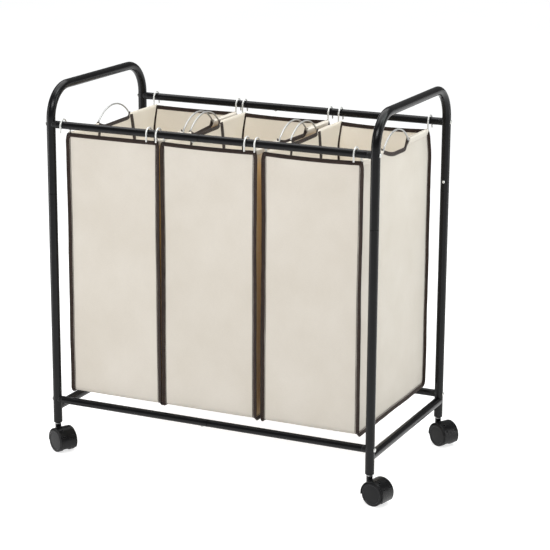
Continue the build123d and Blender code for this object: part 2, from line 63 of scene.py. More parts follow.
# How the cloth hangs
WALL_BOW, WALL_RIPPLE = 2.2 * MM, 1.5 * MM
SIDE_BOW, SIDE_RIPPLE = 3.6 * MM, 1.7 * MM
FINE_RIPPLE = 0.35 * MM
RIPPLE_SCALE, FINE_SCALE = 7.0, 26.0
FLOOR_SAG, FLOOR_RIPPLE = 5.0 * MM, 1.2 * MM
SEAM_PULL, SEAM_WANDER = 1.3 * MM, 1.1 * MM
TOP_DIP, TOP_DIP_STEP = 1.0 * MM, 0.9 * MM  # the dip grows by a step from bag to bag
TOP_BOW = 1.6 * MM
HEM_LEAN = 4.7 * MM  # how far a side panel's top edge leans inwards, over its wire
HEM_LEAN_DROP = 66 * MM
LEAN_FREE = 0.07  # share of the half depth in which the lean grows from the front seam
DRAWN_DROP, DRAWN_X, DRAWN_Y = 90 * MM, 2.5 * MM, 5.0 * MM  # the rear left corner
CREASE_DEPTH, CREASE_REACH, CREASE_START = 0.55 * MM, 55 * MM, 12 * MM
CREASE_FAN = 9.0

# Sleeves round the wires
WIRE_R = 1.8 * MM
HEM_R = 3.1 * MM
HEM_H = 13 * MM
HEM_DROP = 1.2 * MM  # top of the sleeve, below the top of the side panel
HEM_SHOULDER = -0.2  # the section is round above this cosine and flat below it
HEM_INSIDE, HEM_OUTSIDE_LEFT = 0.4, 0.9  # width of the section on those sides
HEM_TAPER = 0.4  # how much its outer face closes in on the panel below
HEM_SHIFT = 1.6 * MM
HEM_ENDS = {-1: 7.0 * MM, 1: 5.5 * MM}  # where sleeves end, short of the front and rear
HEM_STEPS, HEM_RING = 24, 20
# Each sleeve's mouths turn inwards: place along the sleeve and scale of the section
HEM_START_MOUTH = [(0.03, 0.35), (0.03, 0.62)]
HEM_END_MOUTH = [(1.0, 0.86), (0.985, 0.80), (0.88, 0.76), (0.87, 0.35)]

# Hand notches in the side panels
NOTCH_FRONT = -72 * MM
NOTCH_REAR = 68 * MM
# Depth towards the front, depth towards the rear, lengths of the front and rear slopes, in mm
NOTCHES = {
    ("bag_1", "left"): (10, 7, 34, 14),
    ("bag_1", "right"): (20, 11, 46, 10),
    ("bag_2", "left"): (11, 9, 36, 14),
    ("bag_2", "right"): (8, 11, 48, 9),
    ("bag_3", "left"): (7, 6, 34, 14),
    ("bag_3", "right"): (17, 19, 76, 16),
}
NOTCH_COLUMNS, NOTCH_STEPS = 28, 44

# Tape
TAPE_W = 8.6 * MM
TAPE_T = 2.6 * MM
TAPE_R = 0.9 * MM
TAPE_INSIDE = 1.9 * MM  # how much of the tape lies inside the seam
EDGE_TILT, FLOOR_TILT = 16, 26  # degrees; the floor's tape is turned by both
EDGE_RIPPLE = 0.35 * MM
CLOSE_SEAMS = {("bag_1", 1), ("bag_2", -1)}  # these two seams stand against each other
CLOSE_TUCK = 0.5 * MM  # how much less their tapes stand out
TOP_TUCK, TOP_TUCK_DROP = 3.4 * MM, 16 * MM
TOP_TAPE_RISE = 1.2 * MM
PIPING_INSET, PIPING_HALF = 2.5 * MM, (3.2 * MM, 0.9 * MM)
NOTCH_CURL = 7.0  # points over which a notch's tape curls outwards at its ends
# Straps inside a side panel: y at the notch, y further down, half width
STRAPS = (
    (NOTCH_FRONT + 6 * MM, NOTCH_FRONT + 2 * MM, 5 * MM),
    (NOTCH_REAR + 3 * MM, NOTCH_REAR + 22 * MM, 6.4 * MM),
)
STRAP_BEND, STRAP_STEPS, STRAP_HALF_T = 55 * MM, 60, 0.6 * MM
STRAP_INSET = 1.15 * MM
STRAP_TOP, STRAP_CLEAR = 4 * MM, 7 * MM

# Stitches
STITCH_PITCH = 4.2 * MM
STITCH_LENGTH = 2.9 * MM
STITCH_R = 0.32 * MM
STITCH_RING = 6
STITCH_FORM = ((-1.0, 0.15), (-0.7, 0.85), (0.7, 0.85), (1.0, 0.15))  # along, thickness

# Colours, linear
CLOTH_TONE = (0.635, 0.590, 0.525)
# painted light for the bag's shaded inside: a lighter copy of the cloth tone
PAINTED_LIGHTER_INSIDE_TONE = (0.655, 0.605, 0.53)
# painted glow on the sleeves, an emission that stands in for daylight through one layer of cloth
PAINTED_HEM_GLOW = (0.060, 0.058, 0.052)  # daylight that comes through one layer
# painted glow on the bag's inside
PAINTED_INSIDE_GLOW = (0.135, 0.125, 0.104)
# Painted light in the gaps between bags: golden shade and a glow painted where a cloth faces a
# close cloth
PAINTED_GAP_SHADE = (0.90, 0.63, 0.27)
PAINTED_THROUGH_GLOW = (0.100, 0.064, 0.016)
GAP_TOP_Z, GAP_FADE = 0.705, 0.04
GAP_REACH = 0.06  # how far a cloth looks for its neighbour
# edges of moulded plastic: partly rubbed wear, partly a painted highlight
WORN_AND_HIGHLIGHT_EDGE = (0.17, 0.17, 0.18)
WHITE = (1.0, 1.0, 1.0, 1.0)

WEAVE_PITCH = 0.62 * MM
TWILL_PITCH, RIB_PITCH = 0.9 * MM, 0.55 * MM


# ---------------------------------------------------------------- materials


class Nodes:
    """A short way to write a node material."""

    def __init__(self, name):
        self.material = bpy.data.materials.new(name)
        self.material.use_nodes = True
        self.tree = self.material.node_tree
        self.shader = self.tree.nodes["Principled BSDF"]

    def add(self, kind, **values):
        """A new node; values are its own settings or the sockets of those names."""
        node = self.tree.nodes.new(kind)
        for key, value in values.items():
            if hasattr(node, key):
                setattr(node, key, value)
            else:
                node.inputs[key.replace("_", " ")].default_value = value
        return node

    def link(self, source, target):
        self.tree.links.new(source, target)

    def feed(self, value, socket):
        """Put a number, a colour or another node's output into a socket."""
        if isinstance(value, (int, float)):
            socket.default_value = value
        elif isinstance(value, tuple):
            socket.default_value = (*value, 1.0)
        else:
            self.link(value, socket)

    def set(self, **values):
        """Constant values on the shader's own sockets."""
        for key, value in values.items():
            self.shader.inputs[key.replace("_", " ")].default_value = value

    def glow(self, color):
        self.shader.inputs["Emission Color"].default_value = (*color, 1.0)

    def noise(self, vector, scale, detail):
        node = self.add("ShaderNodeTexNoise", Scale=scale, Detail=detail, Roughness=0.55)
        self.link(vector, node.inputs["Vector"])
        return node.outputs["Fac"]

    def math(self, operation, a, b=0.0):
        node = self.add("ShaderNodeMath", operation=operation)
        self.feed(a, node.inputs[0])
        self.feed(b, node.inputs[1])
        return node.outputs[0]

    def ramp(self, factor, *stops):
        """From one colour to another; each stop is (place, colour)."""
        node = self.add("ShaderNodeValToRGB")
        self.link(factor, node.inputs["Fac"])
        for element, (place, color) in zip(node.color_ramp.elements, stops):
            element.position = place
            element.color = (*color, 1.0)
        return node.outputs["Color"]

    def mix(self, factor, a, b, blend="MIX"):
        node = self.add("ShaderNodeMix", data_type="RGBA", blend_type=blend)
        factor_in, a_in, b_in = node.inputs[0], node.inputs[6], node.inputs[7]
        self.feed(factor, factor_in)
        self.feed(a, a_in)
        self.feed(b, b_in)
        return node.outputs[2]

    def spread(self, factor, low, high):
        """From low at zero to high at one."""
        node = self.add("ShaderNodeMapRange", To_Min=low, To_Max=high)
        self.link(factor, node.inputs["Value"])
        return node.outputs[0]

    def between(self, value, zero, one):
        """Zero at one value and one at another, and straight between them."""
        node = self.add("ShaderNodeMapRange", From_Min=zero, From_Max=one)
        self.link(value, node.inputs["Value"])
        return node.outputs[0]

    def stretched(self, vector, scale):
        node = self.add("ShaderNodeMapping", Scale=scale)
        self.link(vector, node.inputs["Vector"])
        return node.outputs[0]

    def axes(self, vector):
        node = self.add("ShaderNodeSeparateXYZ")
        self.link(vector, node.inputs[0])
        return node.outputs

    def bump(self, height, distance, strength, below=None):
        node = self.add("ShaderNodeBump", Distance=distance, Strength=strength)
        self.link(height, node.inputs["Height"])
        if below is not None:
            self.link(below, node.inputs["Normal"])
        return node.outputs[0]

    def edges(self, radius, low, high):
        """One on sharp edges and zero on flat faces, from how a bevel would turn the normal."""
        bevel = self.add("ShaderNodeBevel", samples=6, Radius=radius)
        flat = self.add("ShaderNodeNewGeometry").outputs["Normal"]
        turn = self.add("ShaderNodeVectorMath", operation="DOT_PRODUCT")
        self.link(bevel.outputs[0], turn.inputs[0])
        self.link(flat, turn.inputs[1])
        away = self.math("SUBTRACT", 1.0, turn.outputs["Value"])
        return self.between(away, low, high)

    def place(self):
        """Object coordinates, which ride with a piece when its body moves."""
        return self.add("ShaderNodeTexCoord").outputs["Object"]

    def uv(self):
        """UVs, which are in metres."""
        return self.add("ShaderNodeTexCoord").outputs["UV"]

    def end(self, color, roughness=None, normal=None):
        self.link(color, self.shader.inputs["Base Color"])
        if roughness is not None:
            self.link(roughness, self.shader.inputs["Roughness"])
        if normal is not None:
            self.link(normal, self.shader.inputs["Normal"])
        return self.material


def powder_coat():
    """Satin black powder coat: orange-peel skin, faint mottling and fine specks."""
    m = Nodes("powder_coat")
    at = m.place()
    mottle = m.noise(at, scale=38.0, detail=4.0)
    color = m.ramp(mottle, (0.3, (0.0025, 0.0025, 0.0028)), (0.7, (0.0050, 0.0050, 0.0055)))
    speck = m.ramp(m.noise(at, scale=900.0, detail=2.0), (0.72, (0, 0, 0)), (0.78, (1, 1, 1)))
    color = m.mix(m.math("MULTIPLY", speck, 0.12), color, (0.05, 0.05, 0.052))
    rough = m.spread(m.noise(at, scale=24.0, detail=4.0), low=0.19, high=0.26)
    peel = m.bump(m.noise(at, scale=1500.0, detail=2.0), distance=0.00012, strength=0.5)
    wave = m.noise(at, scale=260.0, detail=2.0)
    peel = m.bump(wave, distance=0.0003, strength=0.18, below=peel)
    m.set(Specular_IOR_Level=0.22)
    return m.end(color, rough, peel)


def moulded_plastic(name, dark, light, smooth, rough):
    """Moulded black plastic: spark-eroded grain, faint flow marks, and edges painted lighter grey,
    partly as rubbed wear and partly as a painted highlight.
    """
    m = Nodes(name)
    at = m.place()
    color = m.ramp(m.noise(at, scale=60.0, detail=4.0), (0.3, dark), (0.75, light))
    patchy = m.spread(m.noise(at, scale=220.0, detail=3.0), low=0.35, high=1.0)
    # edges painted lighter: partly rubbed wear, partly a painted highlight on the bevels
    wear_and_highlight = m.math("MULTIPLY", m.edges(0.9 * MM, 0.02, 0.25), patchy)
    color = m.mix(wear_and_highlight, color, WORN_AND_HIGHLIGHT_EDGE)
    roughness = m.spread(m.noise(at, scale=90.0, detail=4.0), smooth, rough)
    skin = m.bump(m.noise(at, scale=2400.0, detail=2.0), distance=0.00010, strength=0.6)
    flow = m.noise(at, scale=180.0, detail=2.0)
    skin = m.bump(flow, distance=0.0003, strength=0.12, below=skin)
    m.set(Specular_IOR_Level=0.22)
    return m.end(color, roughness, skin)


def bright_metal(name, dark, light, smooth, rough, metallic=1.0, darker_middle=None):
    """Plated steel with drawn or turned lines and uneven brightness.

    The last argument is a darker tone for the middle of its length, along Y.
    """
    m = Nodes(name)
    at = m.place()
    streak = m.noise(m.stretched(at, (1.0, 1.0, 12.0)), scale=420.0, detail=3.0)
    color = m.ramp(m.noise(at, scale=150.0, detail=4.0), (0.25, dark), (0.7, light))
    if darker_middle is not None:
        along = m.math("ABSOLUTE", m.axes(at)[1])
        color = m.mix(m.between(along, zero=0.12, one=0.08), color, darker_middle)
    m.set(Metallic=metallic)
    lines = m.bump(streak, distance=0.00006, strength=0.5)
    return m.end(color, m.spread(streak, smooth, rough), lines)


def woven(m, uv):
    """Height of a plain weave, from UVs in metres."""
    across, along = (
        m.math("SINE", m.math("MULTIPLY", axis, math.pi / WEAVE_PITCH))
        for axis in m.axes(uv)[:2]
    )
    cross = m.math("MULTIPLY", across, along)
    ribs = m.math("MAXIMUM", m.math("ABSOLUTE", across), m.math("ABSOLUTE", along))
    return m.math("ADD", m.math("MULTIPLY", cross, 0.5), ribs)


def cream_cloth(name, tone, painted_gaps=False, glow=None):
    """Cream plain-weave cloth, uneven in colour, with slubs.

    The gap switch paints golden shade and a glow where it faces a close cloth; glow is a painted
    glow that stands in for light that comes through it.
    """
    m = Nodes(name)
    uv = m.uv()
    weave = woven(m, uv)
    at = m.place()
    light = tuple(c * 1.03 for c in tone)
    deep = tuple(c * f for c, f in zip(tone, (0.955, 0.945, 0.925)))
    color = m.ramp(m.noise(at, scale=9.0, detail=3.0), (0.3, deep), (0.72, light))
    threads = m.spread(weave, low=0.93, high=1.03)
    slubs = m.noise(m.stretched(uv, (0.16, 1.0, 1.0)), scale=900.0, detail=3.0)
    shade = m.math("MULTIPLY", threads, m.spread(slubs, low=0.94, high=1.05))
    color = m.mix(1.0, color, shade, blend="MULTIPLY")
    # painted shade and glow in the gaps between bags
    if painted_gaps:
        color = paint_gap_light(m, color)
    # a painted glow: emission that stands in for light coming through the cloth
    if glow is not None:
        m.glow(glow)
        m.set(Emission_Strength=1.0)
    rough = m.spread(m.noise(at, scale=300.0, detail=2.0), low=0.82, high=0.96)
    normal = m.bump(weave, distance=0.00016, strength=0.55)
    crumple = m.noise(at, scale=140.0, detail=4.0)
    normal = m.bump(crumple, distance=0.0005, strength=0.22, below=normal)
    m.set(Specular_IOR_Level=0.2, Sheen_Weight=0.12, Sheen_Roughness=0.5)
    return m.end(color, rough, normal)


def paint_gap_light(m, color):
    """Painted light: golden shade where two cloths are close, and a painted glow there that grows
    towards the top.
    """
    near = m.add("ShaderNodeAmbientOcclusion", samples=8, Distance=GAP_REACH)
    height = m.axes(m.place())[2]
    closeness = m.between(near.outputs["AO"], zero=0.42, one=0.12)
    below_hems = m.between(height, zero=GAP_TOP_Z, one=GAP_TOP_Z - GAP_FADE)
    painted_gap_amount = m.math("MULTIPLY", closeness, below_hems)
    # painted shade: golden tint multiplied in where the cloths are close
    color = m.mix(painted_gap_amount, color, PAINTED_GAP_SHADE, blend="MULTIPLY")
    # painted glow in the gaps, stronger towards the top
    rise = m.math("POWER", m.between(height, zero=0.15, one=0.70), 1.8)
    m.link(m.math("MULTIPLY", painted_gap_amount, rise), m.shader.inputs["Emission Strength"])
    m.glow(PAINTED_THROUGH_GLOW)
    return color


def brown_tape():
    """Dark brown ribbed binding tape."""
    m = Nodes("brown_tape")
    across, along, _ = m.axes(m.uv())
    diagonal = m.math("ADD", across, along)
    twill = m.math("SINE", m.math("MULTIPLY", diagonal, 2 * math.pi / TWILL_PITCH))
    rib = m.math("SINE", m.math("MULTIPLY", along, 2 * math.pi / RIB_PITCH))
    weave = m.math("ADD", twill, m.math("MULTIPLY", rib, 0.5))
    at = m.place()
    broad = m.noise(at, scale=70.0, detail=4.0)
    color = m.ramp(broad, (0.3, (0.020, 0.011, 0.008)), (0.75, (0.036, 0.021, 0.015)))
    color = m.mix(1.0, color, m.spread(weave, low=0.86, high=1.12), blend="MULTIPLY")
    rough = m.spread(m.noise(at, scale=500.0, detail=2.0), low=0.72, high=0.9)
    m.set(Specular_IOR_Level=0.25, Sheen_Weight=0.12, Sheen_Roughness=0.45)
    return m.end(color, rough, m.bump(weave, distance=0.00012, strength=0.6))


def thread(name, color):
    """Twisted sewing thread."""
    m = Nodes(name)
    twist = m.noise(m.place(), scale=3000.0, detail=2.0)
    shade = m.ramp(twist, (0.3, tuple(c * 0.75 for c in color)), (0.7, color))
    m.set(Roughness=0.6, Sheen_Weight=0.2)
    return m.end(shade, normal=m.bump(twist, distance=0.00008, strength=0.6))


def pale_floor():
    """White studio floor; its own light keeps it white without washing out the cart."""
    m = Nodes("pale_floor")
    at = m.add("ShaderNodeNewGeometry").outputs["Position"]
    broad = m.noise(at, scale=1.5, detail=2.0)
    color = m.ramp(broad, (0.3, (0.60, 0.60, 0.60)), (0.7, (0.63, 0.63, 0.63)))
    m.set(Roughness=0.9, Specular_IOR_Level=0.1, Emission_Strength=0.74)
    m.glow((1.0, 1.0, 1.0))
    return m.end(color)


COAT = powder_coat()
HOOD = moulded_plastic(
    "hood_plastic", (0.0025, 0.0025, 0.003), (0.005, 0.005, 0.0055), smooth=0.22, rough=0.34)
WHEEL = moulded_plastic(
    "wheel_plastic", (0.004, 0.004, 0.0045), (0.007, 0.007, 0.008), smooth=0.32, rough=0.46)
PLUG = moulded_plastic(
    "plug_plastic", (0.004, 0.004, 0.004), (0.007, 0.007, 0.007), smooth=0.35, rough=0.5)
ZINC = bright_metal(
    "zinc_plate", (0.50, 0.50, 0.48), (0.74, 0.74, 0.72), smooth=0.22, rough=0.38, metallic=0.8)
STEEL = bright_metal(
    "turned_steel", (0.45, 0.45, 0.45), (0.66, 0.66, 0.66), smooth=0.25, rough=0.45)
WIRE = bright_metal(
    "plated_wire", (0.50, 0.50, 0.48), (0.76, 0.76, 0.74), smooth=0.26, rough=0.38,
    metallic=0.45, darker_middle=(0.46, 0.46, 0.45))
CLOTH = cream_cloth("cream_cloth", CLOTH_TONE)
# side panels' outsides, with painted shade and glow in the gaps between bags
CLOTH_PAINTED_GAPS = cream_cloth("cream_cloth_outside", CLOTH_TONE, painted_gaps=True)
# sleeves with a painted glow
CLOTH_HEM_PAINTED_GLOW = cream_cloth("cream_cloth_hem", CLOTH_TONE, glow=PAINTED_HEM_GLOW)
# insides: a lighter copy of the cloth tone and a painted glow
CLOTH_INSIDE_PAINTED_LIGHT = cream_cloth("cream_cloth_inside", PAINTED_LIGHTER_INSIDE_TONE, glow=PAINTED_INSIDE_GLOW)
TAPE = brown_tape()
BROWN_THREAD = thread("brown_thread", (0.060, 0.036, 0.026))
CREAM_THREAD = thread("cream_thread", (0.80, 0.74, 0.64))


# ------------------------------------------------------------- mesh helpers


def new_piece(name, points, faces, uvs, material, body, slot):
    """A smooth mesh object with UVs in metres, that rides on a body."""
    mesh = bpy.data.meshes.new(name)
    mesh.from_pydata([tuple(p) for p in points], [], faces)
    mesh.update()
    layer = mesh.uv_layers.new(name="cloth")
    for loop in mesh.loops:
        layer.data[loop.index].uv = uvs[loop.vertex_index]
    for polygon in mesh.polygons:
        polygon.use_smooth = True
    mesh.materials.append(material)
    piece = bpy.data.objects.new(name, mesh)
    bpy.context.scene.collection.objects.link(piece)
    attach(piece, body)
    return piece


def thicken_cloth(piece):
    """Give a cloth surface its thickness; the side away from its normals is the cloth's inside,
    with painted light: a lighter tone and a painted glow.
    """
    piece.data.materials.append(CLOTH_INSIDE_PAINTED_LIGHT)
    modifier = piece.modifiers.new("thickness", "SOLIDIFY")
    modifier.thickness = CLOTH_T
    modifier.offset = 0.0
    modifier.use_even_offset = True
    modifier.material_offset = 1


def turned_over(faces):
    """The same faces, seen from their other side."""
    return [tuple(reversed(face)) for face in faces]


def grid_faces(rows, columns):
    """Quads of a grid whose points are stored row by row."""
    faces = []
    for r in range(rows - 1):
        for c in range(columns - 1):
            first = r * columns + c
            faces.append((first, first + 1, first + columns + 1, first + columns))
    return faces


def tube_faces(rows, ring):
    """Quads of a tube whose points are stored ring by ring, and the caps on its two ends."""
    faces = []
    for i in range(rows - 1):
        for j in range(ring):
            k = (j + 1) % ring
            faces.append((i * ring + j, i * ring + k, (i + 1) * ring + k, (i + 1) * ring + j))
    faces.append(tuple(reversed(range(ring))))
    faces.append(tuple((rows - 1) * ring + j for j in range(ring)))
    return faces


def rounded_section(half_w, half_t, corner):
    """Points of a rounded rectangle, as (along width, along thickness)."""
    steps = 3
    points = []
    for cw, ct, start in ((1, 1, 0), (-1, 1, 90), (-1, -1, 180), (1, -1, 270)):
        for i in range(steps + 1):
            a = math.radians(start + 90 * i / steps)
            points.append((
                cw * (half_w - corner) + corner * math.cos(a),
                ct * (half_t - corner) + corner * math.sin(a),
            ))
    return points


def sweep(path, wide, flat, section):
    """Sweep a section along a path; returns points, faces and UVs, with closed ends."""
    girth = [0.0]
    for a, b in zip(section, section[1:]):
        girth.append(girth[-1] + math.dist(a, b))
    points, uvs, run = [], [], 0.0
    for i, at in enumerate(path):
        if i:
            run += (at - path[i - 1]).length
        for (w, t), g in zip(section, girth):
            points.append(at + wide[i] * w + flat[i] * t)
            uvs.append((g, run))
    return points, tube_faces(len(path), len(section)), uvs


def join_parts(parts):
    """Join several (points, faces, uvs) into one."""
    points, faces, uvs = [], [], []
    for p, f, u in parts:
        base = len(points)
        points += p
        uvs += u
        faces += [tuple(base + i for i in face) for face in f]
    return points, faces, uvs


def clamp(value, low, high):
    return min(max(value, low), high)


# ---------------------------------------------------------- how a bag hangs


class Spot:
    """Where a point lies on the flat-sided bag, and how much each part of it moves there.

    a and b run from -1 to 1 across and along the bag's depth, t from 0 to 1 upwards.
    """

    def __init__(self, bag, p):
        self.z = p.z
        self.a = (p.x - bag.x) / bag.half_x
        self.b = p.y / bag.half_y
        self.t = clamp((p.z - bag.low) / (bag.top - bag.low), 0.0, 1.0)
        self.a1 = clamp(self.a, -1.0, 1.0)
        self.b1 = clamp(self.b, -1.0, 1.0)
        self.out_x = math.copysign(1, self.a)
        self.out_y = math.copysign(1, self.b)
        self.slack = math.sin(math.pi * self.t) ** 0.8 if 0 < self.t < 1 else 0.0
        self.held = 1 - self.t ** 6
        self.near_wall = abs(self.b1) ** 8
        self.near_side = abs(self.a1) ** 8
        self.near_floor = (1 - self.t) ** 10
        self.soft = noise.noise(p * RIPPLE_SCALE + bag.seed)
        self.fine = noise.noise(p * FINE_SCALE + bag.seed)


class Bag:
    """The places of one bag, from its CAD nodes, and how its cloth hangs."""

    def __init__(self, name, number):
        self.name = name
        self.number = number
        strip_low, strip_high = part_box(f"{name}_front_bottom_back")
        left_low, left_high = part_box(f"{name}_side_left")
        right_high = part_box(f"{name}_side_right")[1]
        wire_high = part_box(f"{name}_hanger_right")[1]
        self.x = (left_low.x + right_high.x) / 2
        self.half_x = (right_high.x - left_low.x) / 2 - PANEL_INSET
        self.half_y = strip_high.y - WALL_INSET
        self.low = strip_low.z + WALL_INSET
        self.top = strip_high.z
        self.hem_top = left_high.z
        # the hooks sway inwards, so the wire is the hanger's outermost part
        self.wire_x = wire_high.x - WIRE_R - self.x
        self.seed = Vector((17.3 * number, 5.1 * number, 2.7 * number))

    def hang(self, p):
        """Where a point of the flat-sided bag goes when the cloth hangs and slackens."""
        spot = Spot(self, p)
        out = p.copy()
        self.bow_walls(spot, out)
        self.sag_floor(spot, out)
        self.wander_seams(spot, out)
        self.dip_top(spot, out)
        self.lean_sides(spot, out)
        self.draw_in_rear_left(spot, out)
        self.crease_corners(spot, out)
        return out

    def bow_walls(self, s, out):
        """The four walls bow in and ripple."""
        bow = -WALL_BOW * (1 - s.a1 * s.a1) * s.slack
        bow += (WALL_RIPPLE * s.soft + FINE_RIPPLE * s.fine) * (1 - s.a1 ** 4) * s.held
        out.y += s.out_y * bow * s.near_wall
        bow = -SIDE_BOW * (1 - s.b1 * s.b1) * s.slack
        bow += (SIDE_RIPPLE * s.soft + FINE_RIPPLE * s.fine) * (1 - s.b1 ** 4) * s.held
        out.x += s.out_x * bow * s.near_side

    def sag_floor(self, s, out):
        out.z -= FLOOR_SAG * (1 - s.a1 * s.a1) * (1 - s.b1 * s.b1) * s.near_floor
        out.z += FLOOR_RIPPLE * s.soft * s.near_floor * (1 - s.a1 ** 4) * (1 - s.b1 ** 4)

    def wander_seams(self, s, out):
        """The upright seams wander a little and pull in above the floor."""
        seam = (abs(s.a1) * abs(s.b1)) ** 6
        wander = noise.noise(Vector((s.a * 3.0, s.b * 3.0, s.z * 9.0)) + self.seed)
        shift = -SEAM_PULL * s.slack * (0.4 + s.t) + SEAM_WANDER * wander * s.held
        out.x += s.out_x * shift * seam

    def dip_top(self, s, out):
        """The front and rear top edges dip between the hangers."""
        dip = (1 - s.a1 * s.a1) * s.near_wall * s.t ** 8
        out.z -= (TOP_DIP + TOP_DIP_STEP * self.number) * dip
        out.y -= s.out_y * TOP_BOW * dip

    def lean_sides(self, s, out):
        """The side walls lean in over their wires, from the front seam on."""
        drop = (self.hem_top - s.z) / HEM_LEAN_DROP
        if drop >= 1:
            return
        rise = 1 - max(0.0, drop)
        lean = HEM_LEAN * rise * rise * (3 - 2 * rise)
        if s.b < 0:
            lean *= min(1.0, (1 - abs(s.b1)) / LEAN_FREE)
        out.x -= s.out_x * lean * s.near_side

    def draw_in_rear_left(self, s, out):
        """The rear left corner is drawn in a little more than the others."""
        if not s.a < 0 < s.b:
            return
        tall = max(0.0, 1 - (self.top - s.z) / DRAWN_DROP)
        out.x += DRAWN_X * tall * tall * abs(s.a1) ** 3 * s.b1 ** 6
        out.y -= DRAWN_Y * math.sin(math.pi * tall) * s.near_wall * abs(s.a1) ** 2

    def crease_corners(self, s, out):
        """Creases fan out from the hung corners."""
        on_wall = s.near_wall > 0.5
        drop = self.top - s.z
        for corner in (-1, 1):
            aside = (s.a - corner) * self.half_x if on_wall else (1 - abs(s.b)) * self.half_y
            reach = math.hypot(aside, drop)
            angle = math.atan2(abs(aside), max(drop, 1e-6))
            crease = math.sin(angle * CREASE_FAN + corner + self.number)
            crease *= math.exp(-reach / CREASE_REACH)
            crease *= CREASE_DEPTH * (1 - math.exp(-reach / CREASE_START))
            if on_wall:
                out.y += s.out_y * crease * (1 - s.a1 ** 8)
            elif s.near_side > 0.5 and corner == 1:
                out.x += s.out_x * crease * (1 - s.b1 ** 8)


# ------------------------------------------------------------- cloth panels


def profile_stations(bag):
    """Front top, down, round the bottom corner, along the floor and up the rear: (y, z)."""
    half, low, top, r = bag.half_y, bag.low, bag.top, CORNER_R
    rise = top - low - r
    up = max(2, round(rise / GRID))
    along = max(2, round(2 * (half - r) / GRID))
    bend = [math.pi / 2 * i / CORNER_STEPS for i in range(CORNER_STEPS)]
    stations = [(-half, top - rise * i / up) for i in range(up)]
    stations += [(-half + r - r * math.cos(a), low + r - r * math.sin(a)) for a in bend]
    stations += [(-half + r + 2 * (half - r) * i / along, low) for i in range(along)]
    stations += [(half - r + r * math.sin(a), low + r - r * math.cos(a)) for a in bend]
    stations += [(half, low + r + rise * i / up) for i in range(up + 1)]
    return stations


def cloth_strip(bag):
    """Front, floor and rear of the bag in one length of cloth."""
    stations = profile_stations(bag)
    columns = max(4, round(2 * bag.half_x / GRID)) + 1
    points, uvs, run = [], [], 0.0
    for i, (y, z) in enumerate(stations):
        if i:
            run += math.dist(stations[i - 1], (y, z))
        for c in range(columns):
            x = bag.x - bag.half_x + 2 * bag.half_x * c / (columns - 1)
            points.append(bag.hang(Vector((x, y, z))))
            uvs.append((x - bag.x, run))
    faces = turned_over(grid_faces(len(stations), columns))
    piece = new_piece(
        f"{bag.name}_cloth_strip", points, faces, uvs, CLOTH, bag.name, "cloth")
    thicken_cloth(piece)
    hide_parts(f"{bag.name}_front_bottom_back")
    return piece, (2 * bag.half_x, run)


def notch_depth(bag, name, y):
    """How far a side panel's edge lies below its hems, at a place along the panel."""
    front, rear, front_slope, rear_slope = NOTCHES[bag.name, name]
    if not NOTCH_FRONT < y < NOTCH_REAR:
        return 0.0
    f = (y - NOTCH_FRONT) / (NOTCH_REAR - NOTCH_FRONT)
    falling = min(1.0, (y - NOTCH_FRONT) / (front_slope * MM))
    rising = min(1.0, (NOTCH_REAR - y) / (rear_slope * MM))
    depth = (front + (rear - front) * f) * MM
    return depth * math.sin(falling * math.pi / 2) ** 1.1 * math.sin(rising * math.pi / 2)


def notch_places(count):
    """Places along a notch, closer together at its ends."""
    places = []
    for i in range(count + 1):
        f = (1 - math.cos(math.pi * i / count)) / 2
        places.append(NOTCH_FRONT + (NOTCH_REAR - NOTCH_FRONT) * f)
    return places


def side_columns(bag, name):
    """Columns of a side panel: y, lowest z and highest z, with the notch in the middle."""
    r = CORNER_R
    flat = bag.half_y - r
    ends = [flat + r * math.sin(math.radians(a)) for a in CORNER_ANGLES]
    front_count = max(3, round((flat + NOTCH_FRONT) / GRID))
    rear_count = max(3, round((flat - NOTCH_REAR) / GRID))
    front = [-flat + (NOTCH_FRONT + flat) * i / front_count for i in range(front_count)]
    rear = [NOTCH_REAR + (flat - NOTCH_REAR) * i / rear_count for i in range(1, rear_count + 1)]
    notch = notch_places(NOTCH_COLUMNS)
    result = []
    for y in [-y for y in reversed(ends)] + front + notch + rear + ends:
        past = max(0.0, abs(y) - flat)
        low = bag.low + r - math.sqrt(max(0.0, r * r - past * past))
        result.append((y, low, bag.hem_top - notch_depth(bag, name, y)))
    return result


def cloth_side(bag, name, side):
    """Side panel with its notch."""
    columns = side_columns(bag, name)
    rows = round((bag.top - bag.low) / GRID)
    points, uvs = [], []
    for r in range(rows + 1):
        for y, low, top in columns:
            z = low + (top - low) * r / rows
            points.append(bag.hang(Vector((bag.x + side * bag.half_x, y, z))))
            uvs.append((y, z))
    faces = grid_faces(rows + 1, len(columns))
    if side < 0:
        faces = turned_over(faces)
    piece = new_piece(
        f"{bag.name}_cloth_side_{name}", points, faces, uvs, CLOTH_PAINTED_GAPS, bag.name, "cloth")
    thicken_cloth(piece)
    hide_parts(f"{bag.name}_side_{name}")
    return piece


